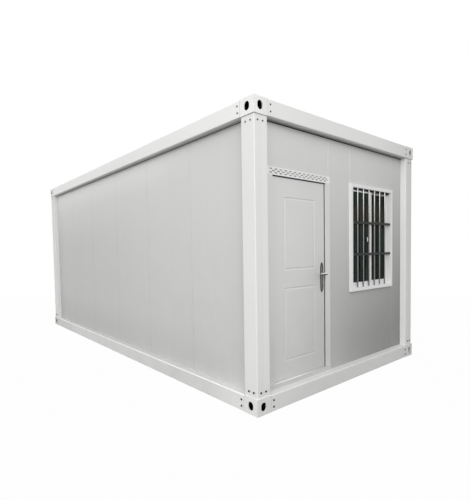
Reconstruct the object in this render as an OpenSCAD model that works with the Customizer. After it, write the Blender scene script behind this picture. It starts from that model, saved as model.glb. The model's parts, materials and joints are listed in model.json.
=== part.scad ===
// A flat-pack cabin: a bolted steel frame, sandwich-panel walls, a steel door under a
// perforated vent head, and a sliding window behind a security grille.
// The origin is on the ground under the middle of the cabin, +Z is up and the door end
// faces -Y. Inside the modules a place is measured from the front left corner of the
// frame at ground level: u to the right, v to the back and z up.

/* [Cabin] */
// Width across the door end
cabin_w = 3000; // [2500:10:3600]
// Length of the long sides
cabin_l = 5950; // [4000:10:9000]
// Height from the ground to the top of the frame
cabin_h = 2800; // [2400:10:3200]

/* [Steel frame] */
// Width of a corner fitting and of a post, each way
fitting_w = 175; // [150:1:200]
// Plate thickness of a corner fitting
fitting_wall = 8; // [5:0.5:12]
// Width of the lifting aperture in a fitting's side
aperture_w = 64; // [50:1:70]
// Height of the lifting aperture in a fitting's side
aperture_h = 80; // [72:1:100]
// Aperture centre from the corner, on the door end and the back
aperture_inset = 76; // [60:1:90]
// Aperture centre from the corner, on the long sides
side_aperture_inset = 88; // [60:1:100]
// Diameter of the pin hole in a fitting's top or bottom plate
pin_hole_d = 56; // [30:1:70]
// Height of the floor beams
floor_beam_h = 155; // [130:1:200]
// Height of the roof beams
roof_beam_h = 150; // [130:1:200]
// Sheet thickness of beams, posts and joists
sheet_t = 4; // [2:0.5:6]
// Outer radius of a bend in the sheet
bend_r = 8; // [7:0.5:14]
// How far a post stands back from its fittings' faces
post_inset = 10; // [4:1:20]
// Width of the beam flange that the walls stand on
flange_w = 185; // [180:1:230]

/* [Walls] */
// How far the walls stand back from the frame's outer faces
wall_recess = 88; // [60:1:100]
// Thickness of a wall panel
panel_t = 50; // [40:1:60]
// Width of one wall panel
panel_module = 950; // [900:5:1150]
// Visible joint between two panels
panel_gap = 1; // [0.5:0.5:4]
// Reach of a panel's tongue
tongue_l = 10; // [6:1:16]
// Thickness of a panel's tongue
tongue_t = 16; // [10:1:24]

/* [Floor and roof] */
// Thickness of the floor board
deck_t = 18; // [12:1:30]
// Height of a floor joist
joist_h = 100; // [60:1:120]
// Width of a floor joist
joist_w = 50; // [30:1:80]
// Number of floor joists
joist_count = 9; // [5:1:14]
// Thickness of the ceiling board
ceiling_t = 12; // [6:1:20]
// Width of a roof beam's top rim
rim_w = 60; // [40:1:90]
// Depth of the gutter below the rim
gutter_d = 80; // [50:1:95]
// Height of the gutter's inner lip
gutter_lip = 30; // [15:1:45]
// Rise of each roof slope from the gutter to the ridge
roof_rise = 20; // [6:1:26]
// Height of a roof rib
rib_h = 18; // [10:1:22]
// Spacing of the roof ribs
rib_pitch = 235; // [150:5:320]

/* [Doorway] */
// Left end of the frame to the near side of the door opening
door_offset = 312; // [280:1:400]
// Width of the door leaf
leaf_w = 805; // [700:1:950]
// Thickness of the door leaf
leaf_t = 50; // [40:1:60]
// How far the leaf stands back from the frame's face
leaf_set_back = 18; // [12:1:26]
// Running gap round the leaf
leaf_gap = 7; // [5:0.5:10]
// Thickness of the rubber seal
seal_t = 3; // [2:0.5:5]
// Overlap of the leaf's inner lip on the frame
lip_w = 18; // [14:1:24]
// Thickness of the leaf's inner lip
lip_t = 12; // [8:1:16]
// Face width of a door jamb
jamb_face = 75; // [60:1:90]
// Overlap of a door jamb on the wall beside it
jamb_overlap = 20; // [10:1:30]
// How far the door frame stands out from the wall
door_proud = 8; // [4:1:16]
// Height of the threshold
threshold_h = 43; // [25:1:60]
// Height of the vent head
vent_h = 72; // [60:1:100]
// Height of the wall between the vent head and the roof beam
over_door_h = 408; // [300:1:500]
// Number of vent slots in a row
vent_columns = 13; // [7:1:17]
// Width of a vent slot
slot_w = 40; // [24:1:46]
// Height of a vent slot
slot_h = 12; // [8:1:14]

/* [Door furniture] */
// Leaf edge to the centre of the lock
backset = 44; // [40:1:70]
// Height of the lever above the leaf's foot
lever_z = 1010; // [900:5:1100]
// Length of the lever from its spindle
lever_l = 92; // [80:1:130]
// Lever's standing distance from the leaf
lever_reach = 70; // [55:1:76]
// Height of a lock plate
plate_h = 315; // [240:5:360]
// Width of a lock plate
plate_w = 46; // [38:1:56]
// Thickness of a lock plate
plate_t = 9; // [5:0.5:12]
// Radius of a hinge knuckle
knuckle_r = 9; // [7:0.5:12]
// Radius of a hinge pin
pin_r = 4.5; // [3:0.5:6]
// Height of a hinge
hinge_h = 100; // [80:1:130]

/* [Window] */
// Height of the window
window_h = 1220; // [900:5:1250]
// Height of the wall between the window and the roof beam
over_window_h = 446; // [300:1:700]
// Face width of the window frame inside the wall opening
window_face = 30; // [24:1:45]
// Overlap of the window frame on the wall
window_overlap = 8; // [4:1:20]
// How far the window frame stands out from the wall
window_proud = 28; // [22:1:40]
// Thickness of a sash
sash_t = 24; // [20:1:30]
// Width of a sash stile
stile_w = 44; // [34:1:60]
// Height of a sash's bottom rail
sash_foot = 58; // [44:1:80]
// Radius of a grille upright
bar_r = 8; // [6:0.5:11]
// Number of grille uprights
bar_count = 6; // [4:1:8]
// Height of a grille crossbar
crossbar_h = 28; // [20:1:36]

/* [Hidden] */

$fn = 64;
// Overrun of every cut past the faces that it opens
cut = 1;
// Flat steps in one bend of the sheet
bend_steps = 3;

// Beams and posts
lip_in = 25;
beam_foot_w = 60;
beam_foot_lip = 20;
joist_lip = 15;
post_h = cabin_h - floor_beam_h - roof_beam_h;
roof_z = cabin_h - roof_beam_h;

// Walls
panel_slack = 5;
panel_chamfer = 3;
tongue_clear = 1;
groove_l = tongue_l + panel_gap + tongue_clear;
wall_in = wall_recess + panel_t;
wall_start = wall_in + panel_slack;
trim_w = 45;
trim_t = 3;

// Floor and roof
board_clear = 1;
ceiling_seat = 30;
roof_sheet_t = 2;
roof_seat = 0.3;
roof_overhang = 15;
roof_end_lap = 5;
rib_top_w = 30;
rib_base_w = 60;
ridge_gap = 2;
ridge_cap_w = 220;
roof_edge = flange_w - roof_overhang;
roof_run = cabin_w / 2 - roof_edge - ridge_gap;
roof_fall = atan(roof_rise / roof_run);
eave_z = cabin_h - gutter_d + gutter_lip + roof_seat;

// Doorway
door_clear = leaf_gap + seal_t;
door_w = leaf_w + 2 * door_clear;
door_end = door_offset + door_w;
door_face = wall_recess - door_proud;
leaf_v = door_face + leaf_set_back;
door_back = leaf_v + leaf_t;
seat_v = door_back - lip_t - leaf_gap;
rebate_w = lip_w - seal_t;
jamb_body = jamb_face - jamb_overlap;
leaf_foot_gap = 5;
leaf_u = door_offset + door_clear;
leaf_z = floor_beam_h + threshold_h + leaf_foot_gap;
head_z = roof_z - over_door_h - vent_h;
leaf_h = head_z - door_clear - leaf_z;
vent_wall = 4;
vent_rows = 3;
vent_margin = 10;

// Pressed panels of the door leaf
leaf_stile = 160;
leaf_rail = 180;
leaf_mid_rail = 170;
leaf_mid_z = 985;
groove_w = 22;
groove_d = 4;
groove_run = 7;

// Lock and lever
spindle_r = 5;
spindle_clear = 2;
neck_r = 11;
neck_end_r = 7;
neck_clear = 0.3;
grip_root_r = 12;
grip_end_r = 8;
grip_t = 13;
grip_step = 2;
key_drop = 74;
key_r = 8.5;
key_tail_w = 10;
key_tail_h = 24;
key_proud = 3;
keyway_w = 2;
keyway_h = 9;
keyway_d = 5;
plate_tip_r = 12;
plate_taper = 42;
plate_rim = 6;
plate_step = 4;
lever_u = leaf_u + leaf_w - backset;
lock_z = leaf_z + lever_z;
plate_drop = 40;

// Hinges
hinge_foot = 150;
hinge_count = 3;
hinge_plate_w = 48;
hinge_plate_t = 3;
hinge_clear = 1;
pin_clear = 0.2;
knuckle_share = 0.32;
hinge_u = door_offset - rebate_w + leaf_gap / 2;
hinge_v = door_back + hinge_plate_t + hinge_clear + knuckle_r;
hinge_arm = leaf_gap / 2 + hinge_clear;

// Window
middle_strip_share = 0.576;
strips_w = cabin_w - wall_start - door_end - jamb_body - panel_module;
window_left = door_end + jamb_body + middle_strip_share * strips_w;
window_right = window_left + panel_module;
window_top = roof_z - over_window_h;
window_foot = window_top - window_h;
window_v = wall_recess - window_proud;
window_back = wall_in + door_proud;
window_clear = 1;
frame_left = window_left + window_clear;
frame_right = window_right - window_clear;
sight_left = frame_left + window_face;
sight_right = frame_right - window_face;
sight_foot = window_foot + window_clear + window_face;
sight_top = window_top - window_clear - window_face;
sash_head = 40;
sash_gap = 2;
sash_back_gap = 1;
sash_w = (sight_right - sight_left + stile_w) / 2;
inner_sash_v = window_back - sash_back_gap - sash_t;
outer_sash_v = inner_sash_v - sash_gap - sash_t;
glass_t = 5;
crossbar_t = 20;
crossbar_low_share = 0.335;
crossbar_high_share = 0.655;
grille_v = window_v + crossbar_t;

// Colours
frame_white = [0.9, 0.9, 0.9];
panel_grey = [0.8, 0.8, 0.79];
door_white = [0.84, 0.84, 0.84];
zinc_grey = [0.6, 0.61, 0.62];
board_grey = [0.5, 0.47, 0.43];
steel_grey = [0.45, 0.45, 0.46];
bar_grey = [0.62, 0.63, 0.64];
rubber_black = [0.06, 0.06, 0.06];
glass_green = [0.1, 0.16, 0.14, 0.6];

// Puts a piece measured from the front left corner into the cabin's own frame
module from_corner() {
    translate([-cabin_w / 2, -cabin_l / 2, 0])
        children();
}

// Repeats a front left piece at another corner of the frame
module at_corner(right, back) {
    translate([right ? cabin_w : 0, back ? cabin_l : 0, 0])
        mirror([right ? 1 : 0, 0, 0])
            mirror([0, back ? 1 : 0, 0])
                children();
}

// Bent sheet: a path of straight runs, rounded at its corners, with the sheet on its right
function unit(d) = d / norm(d);
function right_of(d) = [d[1], -d[0]];
function turn_of(a, b) = atan2(a[0] * b[1] - a[1] * b[0], a * b);

// The arc that rounds one corner: the outer radius where the path turns towards the sheet
function bend(p, a, b) =
    let (turn = turn_of(a, b))
    let (r = turn < 0 ? bend_r : bend_r - sheet_t)
    let (start = p - a * r * tan(abs(turn) / 2))
    let (side = right_of(a) * -sign(turn))
    [for (k = [0:bend_steps])
        let (t = abs(turn) * k / bend_steps)
        start + a * r * sin(t) + side * r * (1 - cos(t))];

function bent_path(path) = [
    for (i = [0:len(path) - 1])
        each (i == 0 || i == len(path) - 1
            ? [path[i]]
            : bend(path[i], unit(path[i] - path[i - 1]), unit(path[i + 1] - path[i])))
];

// The path shifted to its right by a thickness, with mitred corners
function shifted(path, t) = [
    for (i = [0:len(path) - 1])
        let (a = unit(i > 0 ? path[i] - path[i - 1] : path[1] - path[0]))
        let (b = unit(i < len(path) - 1 ? path[i + 1] - path[i] : path[i] - path[i - 1]))
        path[i] + (right_of(a) + right_of(b)) * t / (1 + a * b)
];

function sheet_outline(path, t) =
    let (inner = shifted(path, t))
    concat(path, [for (i = [len(inner) - 1:-1:0]) inner[i]]);

module bent_bar(path, l) {
    linear_extrude(l)
        polygon(sheet_outline(bent_path(path), sheet_t));
}

// An upright slot with round ends through a plate, bored along Z
module slot_cutter(w, h, depth) {
    run = h - w;
    translate([0, run / 2, 0])
        cylinder(d = w, h = depth);
    translate([0, -run / 2, 0])
        cylinder(d = w, h = depth);
    translate([-w / 2, -run / 2, 0])
        cube([w, run, depth]);
}

// A hollow plate box with an aperture in each outer side and a pin hole in one end plate
module corner_fitting(h, hole_z) {
    inner = fitting_w - 2 * fitting_wall;
    reach = fitting_wall + 2 * cut;
    difference() {
        cube([fitting_w, fitting_w, h]);
        translate([fitting_wall, fitting_wall, fitting_wall])
            cube([inner, inner, h - 2 * fitting_wall]);
        translate([aperture_inset, fitting_wall + cut, h / 2])
            rotate([90, 0, 0])
                slot_cutter(aperture_w, aperture_h, reach);
        translate([-cut, side_aperture_inset, h / 2])
            rotate([90, 0, 90])
                slot_cutter(aperture_w, aperture_h, reach);
        translate([aperture_inset, aperture_inset, hole_z - cut])
            cylinder(d = pin_hole_d, h = reach);
    }
}

module fittings(h, z, hole_z) {
    for (right = [false, true])
        for (back = [false, true])
            at_corner(right, back)
                translate([0, 0, z])
                    corner_fitting(h, hole_z);
}

module floor_fittings() {
    color(frame_white)
        from_corner()
            fittings(floor_beam_h, 0, 0);
}

module roof_fittings() {
    color(frame_white)
        from_corner()
            fittings(roof_beam_h, roof_z, roof_beam_h - fitting_wall);
}

// A post: two outer faces, two returns to the walls and two lips that the walls seat on
post_path = [
    [fitting_w - lip_in, wall_recess],
    [fitting_w, wall_recess],
    [fitting_w, post_inset],
    [post_inset, post_inset],
    [post_inset, fitting_w],
    [wall_recess, fitting_w],
    [wall_recess, fitting_w - lip_in]
];

module post(right, back) {
    color(frame_white)
        from_corner()
            at_corner(right, back)
                translate([0, 0, floor_beam_h])
                    bent_bar(post_path, post_h);
}

module front_left_post() {
    post(false, false);
}

module front_right_post() {
    post(true, false);
}

module back_left_post() {
    post(false, true);
}

module back_right_post() {
    post(true, true);
}

// A floor beam: a lipped channel with a wide top flange under the wall and the floor
floor_beam_path = [
    [beam_foot_w, beam_foot_lip],
    [beam_foot_w, 0],
    [0, 0],
    [0, floor_beam_h],
    [flange_w, floor_beam_h]
];

// A roof beam: a flange over the wall, the outer web, the top rim and the gutter in one sheet
roof_beam_path = [
    [flange_w, 0],
    [0, 0],
    [0, roof_beam_h],
    [rim_w, roof_beam_h],
    [rim_w, roof_beam_h - gutter_d],
    [flange_w, roof_beam_h - gutter_d],
    [flange_w, roof_beam_h - gutter_d + gutter_lip]
];

module side_beam(path, z, right) {
    color(frame_white)
        from_corner()
            at_corner(right, false)
                translate([0, cabin_l - fitting_w, z])
                    rotate([90, 0, 0])
                        bent_bar(path, cabin_l - 2 * fitting_w);
}

// The end beams are notched round the flanges and gutter lips of the side beams
module end_beam(path, z, back) {
    notch = flange_w + sheet_t;
    color(frame_white)
        from_corner()
            at_corner(false, back)
                difference() {
                    translate([fitting_w, 0, z])
                        rotate([90, 0, 90])
                            bent_bar(path, cabin_w - 2 * fitting_w);
                    for (right = [false, true])
                        at_corner(right, false)
                            translate([0, fitting_w, 0])
                                cube([notch, notch, cabin_h + cut]);
                }
}

module left_floor_beam() {
    side_beam(floor_beam_path, 0, false);
}

module right_floor_beam() {
    side_beam(floor_beam_path, 0, true);
}

module front_floor_beam() {
    end_beam(floor_beam_path, 0, false);
}

module back_floor_beam() {
    end_beam(floor_beam_path, 0, true);
}

module left_roof_beam() {
    side_beam(roof_beam_path, roof_z, false);
}

module right_roof_beam() {
    side_beam(roof_beam_path, roof_z, true);
}

module front_roof_beam() {
    end_beam(roof_beam_path, roof_z, false);
}

module back_roof_beam() {
    end_beam(roof_beam_path, roof_z, true);
}

// A joist: a lipped channel from web to web, coped under the floor beams' flanges and bends
joist_path = [
    [joist_w, joist_lip],
    [joist_w, 0],
    [0, 0],
    [0, joist_h],
    [joist_w, joist_h],
    [joist_w, joist_h - joist_lip]
];

module floor_joists() {
    span = cabin_w - 2 * sheet_t;
    pitch = (cabin_l - 2 * fitting_w) / (joist_count + 1);
    cope_z = floor_beam_h - sheet_t;
    relief = bend_r + sheet_t;
    color(zinc_grey)
        from_corner()
            difference() {
                for (i = [1:joist_count])
                    translate([sheet_t, fitting_w + i * pitch, floor_beam_h - joist_h])
                        rotate([90, 0, 90])
                            bent_bar(joist_path, span);
                for (right = [false, true])
                    at_corner(right, false) {
                        translate([-cut, 0, cope_z])
                            cube([flange_w + cut, cabin_l, sheet_t + cut]);
                        translate([-cut, 0, floor_beam_h - relief])
                            cube([relief + cut, cabin_l, relief + cut]);
                    }
            }
}

module floor_deck() {
    edge = wall_in + board_clear;
    notch_u = door_offset - jamb_body - board_clear;
    notch_w = door_w + 2 * (jamb_body + board_clear);
    notch_v = door_back + board_clear;
    color(board_grey)
        from_corner()
            difference() {
                translate([edge, edge, floor_beam_h])
                    cube([cabin_w - 2 * edge, cabin_l - 2 * edge, deck_t]);
                translate([notch_u, 0, floor_beam_h - cut])
                    cube([notch_w, notch_v, deck_t + 2 * cut]);
            }
}

module ceiling() {
    edge = flange_w - ceiling_seat;
    corner = fitting_w + board_clear;
    z = roof_z + sheet_t;
    color(panel_grey)
        from_corner()
            difference() {
                translate([edge, edge, z])
                    cube([cabin_w - 2 * edge, cabin_l - 2 * edge, ceiling_t]);
                for (right = [false, true])
                    for (back = [false, true])
                        at_corner(right, back)
                            translate([0, 0, z - cut])
                                cube([corner, corner, ceiling_t + 2 * cut]);
            }
}

// One line of the ribbed roof sheet across its ribs, from one gable end to the other
function rib_line(run) =
    let (count = floor(run / rib_pitch))
    let (first = (run - (count - 1) * rib_pitch) / 2)
    let (base = rib_base_w / 2)
    let (top = rib_top_w / 2)
    concat(
        [[0, 0]],
        [for (i = [0:count - 1])
            let (x = first + i * rib_pitch)
            each [[x - base, 0], [x - top, rib_h], [x + top, rib_h], [x + base, 0]]],
        [[run, 0]]);

module roof_slope() {
    end = flange_w - roof_end_lap;
    run = cabin_l - 2 * end;
    translate([roof_edge, end, eave_z])
        rotate([0, -roof_fall, 0])
            rotate([90, 0, 90])
                linear_extrude(roof_run / cos(roof_fall))
                    polygon(sheet_outline(rib_line(run), -roof_sheet_t));
}

module roof_sheets() {
    color(frame_white)
        from_corner()
            for (right = [false, true])
                at_corner(right, false)
                    roof_slope();
}

module ridge_cap() {
    end = flange_w - roof_end_lap;
    half = ridge_cap_w / 2;
    rise = (cabin_w / 2 - roof_edge) * tan(roof_fall);
    peak = eave_z + rise + (rib_h + roof_sheet_t + roof_seat) / cos(roof_fall);
    drop = half * tan(roof_fall);
    color(frame_white)
        from_corner()
            translate([cabin_w / 2, cabin_l - end, peak])
                rotate([90, 0, 0])
                    linear_extrude(cabin_l - 2 * end)
                        polygon([
                            [-half, -drop],
                            [0, 0],
                            [half, -drop],
                            [half, roof_sheet_t - drop],
                            [0, roof_sheet_t],
                            [-half, roof_sheet_t - drop]
                        ]);
}

// Angles that cover the joint of two walls inside the room
module corner_trims() {
    z = floor_beam_h + deck_t;
    far = wall_in + trim_w;
    near = wall_in + trim_t;
    color(panel_grey)
        from_corner()
            for (right = [false, true])
                for (back = [false, true])
                    at_corner(right, back)
                        translate([0, 0, z])
                            linear_extrude(roof_z - z)
                                polygon([
                                    [wall_in, wall_in],
                                    [far, wall_in],
                                    [far, near],
                                    [near, near],
                                    [near, far],
                                    [wall_in, far]
                                ]);
}

// A sandwich panel in plan: eased edges, a tongue on one side and a groove on the other
function panel_outline(w, tongue, groove) =
    let (a = panel_gap / 2)
    let (b = w - panel_gap / 2)
    let (c = panel_chamfer)
    let (m = panel_t / 2)
    let (half_tongue = tongue_t / 2)
    let (half_groove = half_tongue + tongue_clear)
    concat(
        [[a + c, 0], [b - c, 0], [b, c]],
        tongue
            ? [[b, m - half_tongue], [b + tongue_l, m - half_tongue],
               [b + tongue_l, m + half_tongue], [b, m + half_tongue]]
            : [],
        [[b, panel_t - c], [b - c, panel_t], [a + c, panel_t], [a, panel_t - c]],
        groove
            ? [[a, m + half_groove], [a + groove_l, m + half_groove],
               [a + groove_l, m - half_groove], [a, m - half_groove]]
            : [],
        [[a, c]]);

// A row of panels along X: whole ones in the middle, the two end ones cut alike
module panel_row(run) {
    count = ceil(run / panel_module);
    trimmed = (count * panel_module - run) / 2;
    for (i = [0:count - 1])
        let (start = max(0, i * panel_module - trimmed))
        let (end = min(run, (i + 1) * panel_module - trimmed))
            translate([start, 0, floor_beam_h])
                linear_extrude(post_h)
                    polygon(panel_outline(end - start, i < count - 1, i > 0));
}

module left_wall() {
    color(panel_grey)
        from_corner()
            translate([wall_in, wall_start, 0])
                rotate([0, 0, 90])
                    panel_row(cabin_l - 2 * wall_start);
}

module right_wall() {
    color(panel_grey)
        from_corner()
            translate([cabin_w - wall_recess, wall_start, 0])
                rotate([0, 0, 90])
                    panel_row(cabin_l - 2 * wall_start);
}

module back_wall() {
    color(panel_grey)
        from_corner()
            translate([wall_start, cabin_l - wall_in, 0])
                panel_row(cabin_w - 2 * wall_start);
}

// One panel of the front wall, from u0 to u1 and from z0 to z1
module front_panel(u0, u1, z0, z1) {
    color(panel_grey)
        from_corner()
            translate([u0, wall_recess, z0])
                linear_extrude(z1 - z0)
                    polygon(panel_outline(u1 - u0, false, false));
}

module front_wall_hinge_side() {
    front_panel(wall_start, door_offset - jamb_body, floor_beam_h, roof_z);
}

module front_wall_over_door() {
    front_panel(door_offset - jamb_body, door_end + jamb_body, head_z + vent_h, roof_z);
}

module front_wall_middle() {
    front_panel(door_end + jamb_body, window_left, floor_beam_h, roof_z);
}

module front_wall_under_window() {
    front_panel(window_left, window_right, floor_beam_h, window_foot);
}

module front_wall_over_window() {
    front_panel(window_left, window_right, window_top, roof_z);
}

module front_wall_right() {
    front_panel(window_right, cabin_w - wall_start, floor_beam_h, roof_z);
}

// A door jamb in plan, with the opening on its right: face, wall flange, body and rebate
jamb_outline = [
    [0, door_face],
    [-jamb_face, door_face],
    [-jamb_face, wall_recess],
    [-jamb_body, wall_recess],
    [-jamb_body, door_back],
    [-rebate_w, door_back],
    [-rebate_w, seat_v],
    [0, seat_v]
];

module door_jamb() {
    translate([0, 0, floor_beam_h])
        linear_extrude(head_z - floor_beam_h)
            polygon(jamb_outline);
}

module hinge_jamb() {
    color(frame_white)
        from_corner()
            translate([door_offset, 0, 0])
                door_jamb();
}

module lock_jamb() {
    color(frame_white)
        from_corner()
            translate([door_end, 0, 0])
                mirror([1, 0, 0])
                    door_jamb();
}

// The vent head in section, and the same shifted in by its wall
vent_outline = [
    [door_face, 0],
    [door_face, vent_h],
    [door_back, vent_h],
    [door_back, rebate_w],
    [seat_v, rebate_w],
    [seat_v, 0]
];

vent_hollow = [
    [door_face + vent_wall, vent_wall],
    [door_face + vent_wall, vent_h - vent_wall],
    [door_back - vent_wall, vent_h - vent_wall],
    [door_back - vent_wall, rebate_w + vent_wall],
    [seat_v - vent_wall, rebate_w + vent_wall],
    [seat_v - vent_wall, vent_wall]
];

// Staggered rows of slots through the vent head's face
module vent_slots(run) {
    pitch_u = run / (vent_columns + 1 / 2);
    pitch_z = (vent_h - 2 * vent_margin) / vent_rows;
    for (row = [0:vent_rows - 1])
        for (i = [0:vent_columns - 1])
            translate([
                (i + 1 / 2 + (row % 2) / 2) * pitch_u,
                door_face + vent_wall + cut,
                vent_margin + (row + 1 / 2) * pitch_z
            ])
                rotate([90, 0, 0])
                    rotate([0, 0, 90])
                        slot_cutter(slot_h, slot_w, vent_wall + 2 * cut);
}

module vent_head() {
    run = door_w + 2 * jamb_body;
    color(frame_white)
        from_corner()
            translate([door_offset - jamb_body, 0, head_z])
                difference() {
                    union() {
                        rotate([90, 0, 90])
                            linear_extrude(run)
                                polygon(vent_outline);
                        translate([-jamb_overlap, door_face, 0])
                            cube([run + 2 * jamb_overlap, door_proud, vent_h]);
                    }
                    translate([vent_wall, 0, 0])
                        rotate([90, 0, 90])
                            linear_extrude(run - 2 * vent_wall)
                                polygon(vent_hollow);
                    vent_slots(run);
                }
}

module threshold() {
    color(frame_white)
        from_corner()
            translate([door_offset, door_face, floor_beam_h])
                cube([door_w, door_back - door_face, threshold_h]);
}

// A rubber lining on the reveals of both jambs and of the head, beside the leaf
module door_seal() {
    foot = floor_beam_h + threshold_h;
    color(rubber_black)
        from_corner()
            difference() {
                translate([door_offset, leaf_v, foot])
                    cube([door_w, seat_v - leaf_v, head_z - foot]);
                translate([door_offset + seal_t, 0, foot - cut])
                    cube([door_w - 2 * seal_t, cabin_l, head_z - seal_t - foot + cut]);
            }
}

// One edge of a pressed panel, as run along the face and depth: the outer slope and the field's slope
pan_side = [[0, -cut], [0, 0], [groove_run, groove_d]];
field_side = [[0, -2 * cut], [0, 0], [-groove_run, groove_d], [-groove_run, groove_d + cut]];

function both_sides(side, w) =
    concat(side, [for (i = [len(side) - 1:-1:0]) [w - side[i][0], side[i][1]]]);

// A block in the leaf's face with the same edge on all four sides, mitred at its corners
module sunk_block(w, h, side) {
    intersection() {
        translate([0, 0, -groove_run])
            linear_extrude(h + 2 * groove_run)
                polygon(both_sides(side, w));
        translate([-groove_run, 0, 0])
            rotate([90, 0, 90])
                linear_extrude(w + 2 * groove_run)
                    polygon([for (p = both_sides(side, h)) [p[1], p[0]]]);
    }
}

// The groove with sloped sides round one pressed panel of the door leaf
module pressed_groove(w, h) {
    difference() {
        sunk_block(w, h, pan_side);
        translate([groove_w, 0, groove_w])
            sunk_block(w - 2 * groove_w, h - 2 * groove_w, field_side);
    }
}

module pressed_grooves() {
    w = leaf_w - 2 * leaf_stile;
    low_top = leaf_mid_z - leaf_mid_rail / 2;
    high_foot = leaf_mid_z + leaf_mid_rail / 2;
    translate([leaf_stile, 0, leaf_rail])
        pressed_groove(w, low_top - leaf_rail);
    translate([leaf_stile, 0, high_foot])
        pressed_groove(w, leaf_h - leaf_rail - high_foot);
}

// The leaf: a slab with an inner lip on its top and sides, and pressed panels on both faces
module door_leaf() {
    color(door_white)
        from_corner()
            translate([leaf_u, leaf_v, leaf_z])
                difference() {
                    union() {
                        cube([leaf_w, leaf_t, leaf_h]);
                        translate([-lip_w, leaf_t - lip_t, 0])
                            cube([leaf_w + 2 * lip_w, lip_t, leaf_h + lip_w]);
                    }
                    pressed_grooves();
                    translate([0, leaf_t, 0])
                        mirror([0, 1, 0])
                            pressed_grooves();
                    translate([leaf_w - backset, leaf_t + cut, lever_z])
                        rotate([90, 0, 0])
                            cylinder(r = spindle_r + spindle_clear, h = leaf_t + 2 * cut);
                }
}

// The outline of a lock plate, drawn in by an inset: a straight body tapered to round ends
module plate_outline(inset) {
    half_w = plate_w / 2 - inset;
    tip_r = plate_tip_r - inset;
    body = plate_h - 2 * plate_taper;
    reach = plate_h / 2 - plate_tip_r;
    translate([-half_w, -body / 2])
        square([2 * half_w, body]);
    for (low = [false, true])
        mirror([0, low ? 1 : 0, 0]) {
            translate([0, reach])
                circle(r = tip_r);
            polygon([
                [-half_w, body / 2],
                [half_w, body / 2],
                [tip_r, reach],
                [-tip_r, reach]
            ]);
        }
}

// The face of the key cylinder: a round head over a narrower tail
module key_cylinder(h) {
    cylinder(r = key_r, h = h);
    translate([-key_tail_w / 2, -key_tail_h, 0])
        cube([key_tail_w, key_tail_h, h]);
}

// A long lock plate with a raised field, bored for the lever's neck, with its key cylinder
module lock_plate() {
    key_face = plate_t + key_proud;
    difference() {
        union() {
            translate([0, -plate_drop, 0]) {
                linear_extrude(plate_t - plate_step)
                    plate_outline(0);
                linear_extrude(plate_t)
                    plate_outline(plate_rim);
            }
            translate([0, -key_drop, 0])
                key_cylinder(key_face);
        }
        translate([0, 0, -cut])
            cylinder(r = neck_r + neck_clear, h = plate_t + 2 * cut);
        translate([-keyway_w / 2, -key_drop - keyway_h / 2, key_face - keyway_d])
            cube([keyway_w, keyway_h, keyway_d + cut]);
    }
}

module lock_plates() {
    color(steel_grey)
        from_corner()
            translate([lever_u, 0, lock_z]) {
                translate([0, leaf_v, 0])
                    rotate([90, 0, 0])
                        lock_plate();
                translate([0, leaf_v + leaf_t, 0])
                    mirror([0, 1, 0])
                        rotate([90, 0, 0])
                            lock_plate();
            }
}

// The outline of a tapered lever that points to the hinges, drawn in by an inset
module grip_outline(inset) {
    root_r = grip_root_r - inset;
    end_r = grip_end_r - inset;
    circle(r = root_r);
    translate([-lever_l, 0])
        circle(r = end_r);
    polygon([
        [0, -root_r],
        [0, root_r],
        [-lever_l, end_r],
        [-lever_l, -end_r]
    ]);
}

// One lever on the leaf's outer face: a tapered neck and a grip with a stepped edge
module half_lever() {
    reach = lever_reach - grip_t;
    rotate([90, 0, 0]) {
        translate([0, 0, neck_clear])
            cylinder(r1 = neck_r, r2 = neck_end_r, h = reach);
        translate([0, 0, reach]) {
            linear_extrude(grip_t - grip_step)
                grip_outline(0);
            linear_extrude(grip_t)
                grip_outline(grip_step);
        }
    }
}

// Both levers on one spindle through the leaf
module lever() {
    reach = lever_reach - grip_t;
    color(steel_grey)
        from_corner()
            translate([lever_u, leaf_v, lock_z]) {
                translate([0, leaf_t + reach, 0])
                    rotate([90, 0, 0])
                        cylinder(r = spindle_r, h = leaf_t + 2 * reach);
                half_lever();
                translate([0, leaf_t, 0])
                    mirror([0, 1, 0])
                        half_lever();
            }
}

// Heights of the hinges' feet, spread evenly up the leaf
hinge_step = (leaf_h - 2 * hinge_foot - hinge_h) / (hinge_count - 1);
hinge_z = [for (i = [0:hinge_count - 1]) leaf_z + hinge_foot + i * hinge_step];
knuckle_h = hinge_h * knuckle_share;

// A hinge plate on the right of the pin, flat on the door frame's back
module hinge_plate(h) {
    translate([hinge_arm, door_back - hinge_v, 0])
        cube([hinge_plate_w - hinge_arm, hinge_plate_t, h]);
}

// A knuckle round the pin, with the arm that joins it to a plate on its right
module hinge_knuckle(h) {
    cylinder(r = knuckle_r, h = h);
    translate([hinge_arm, door_back - hinge_v, 0])
        cube([knuckle_r - hinge_arm, hinge_v - door_back, h]);
}

// Plates on the hinge jamb, with the end knuckles and the pin
module frame_hinges() {
    color(steel_grey)
        from_corner()
            for (z = hinge_z)
                translate([hinge_u, hinge_v, z]) {
                    mirror([1, 0, 0]) {
                        hinge_plate(hinge_h);
                        hinge_knuckle(knuckle_h);
                        translate([0, 0, hinge_h - knuckle_h])
                            hinge_knuckle(knuckle_h);
                    }
                    cylinder(r = pin_r, h = hinge_h);
                }
}

// Plates on the leaf, with the middle knuckle bored for the pin
module leaf_hinges() {
    lift = knuckle_h + hinge_clear;
    mid_h = hinge_h - 2 * lift;
    color(steel_grey)
        from_corner()
            for (z = hinge_z)
                translate([hinge_u, hinge_v, z]) {
                    hinge_plate(hinge_h);
                    translate([0, 0, lift])
                        difference() {
                            hinge_knuckle(mid_h);
                            translate([0, 0, -cut])
                                cylinder(r = pin_r + pin_clear, h = mid_h + 2 * cut);
                        }
                }
}

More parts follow.
